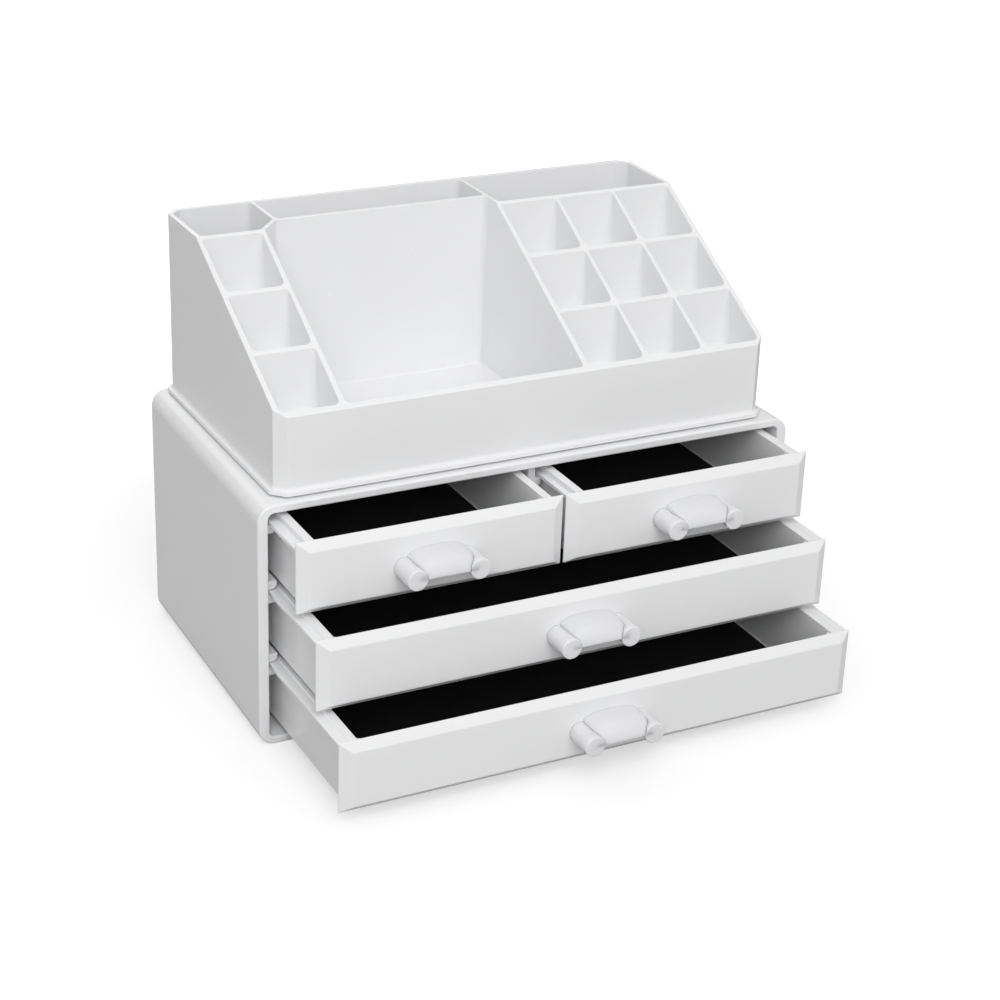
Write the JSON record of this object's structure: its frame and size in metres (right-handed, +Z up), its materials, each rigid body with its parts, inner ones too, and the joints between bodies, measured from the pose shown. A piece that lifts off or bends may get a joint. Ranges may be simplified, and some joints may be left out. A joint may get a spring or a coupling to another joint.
{
  "type": "makeup organizer",
  "caption": "Makeup organizer: a small cabinet of sliding drawers with black liners under a lift-off tray of sloped compartments.",
  "frame": {"origin": "centre of the cabinet's underside, on the surface that it stands on", "axes": "+X to the right seen from the front, +Y towards the back, +Z up; the drawers open towards -Y"},
  "size_m": [0.235, 0.2078, 0.1795],
  "materials": {
    "cabinet_plastic": "smooth gloss white moulding",
    "tray_plastic": "smooth gloss white moulding",
    "drawer_plastic": "smooth gloss white moulding",
    "handle_plastic": "slightly milky gloss moulding",
    "liner_felt": "black short-pile felt",
    "screw_steel": "zinc-plated"
  },
  "bodies": {
    "cabinet": {"cabinet_shell": "cabinet_plastic"},
    "top_left_drawer": {"top_left_box": "drawer_plastic", "top_left_front": "drawer_plastic", "top_left_liner": "liner_felt", "top_left_handle": "handle_plastic", "top_left_handle_screws": "screw_steel"},
    "top_right_drawer": {"top_right_box": "drawer_plastic", "top_right_front": "drawer_plastic", "top_right_liner": "liner_felt", "top_right_handle": "handle_plastic", "top_right_handle_screws": "screw_steel"},
    "middle_drawer": {"middle_box": "drawer_plastic", "middle_front": "drawer_plastic", "middle_liner": "liner_felt", "middle_handle": "handle_plastic", "middle_handle_screws": "screw_steel"},
    "bottom_drawer": {"bottom_box": "drawer_plastic", "bottom_front": "drawer_plastic", "bottom_liner": "liner_felt", "bottom_handle": "handle_plastic", "bottom_handle_screws": "screw_steel"},
    "tray": {"top_tray": "tray_plastic"}
  },
  "joints": [
    {"name": "top_left_drawer_slide", "type": "slide", "parent": "cabinet", "child": "top_left_drawer", "axis": [0, -1, 0], "range_m": [-0.0259, 0.0691]},
    {"name": "top_right_drawer_slide", "type": "slide", "parent": "cabinet", "child": "top_right_drawer", "axis": [0, -1, 0], "range_m": [-0.0259, 0.0691]},
    {"name": "middle_drawer_slide", "type": "slide", "parent": "cabinet", "child": "middle_drawer", "axis": [0, -1, 0], "range_m": [-0.0449, 0.0501]},
    {"name": "bottom_drawer_slide", "type": "slide", "parent": "cabinet", "child": "bottom_drawer", "axis": [0, -1, 0], "range_m": [-0.0664, 0.0286]},
    {"name": "tray_lift", "type": "slide", "parent": "cabinet", "child": "tray", "axis": [0, 0, 1], "range_m": [0, 0.06]}
  ]
}
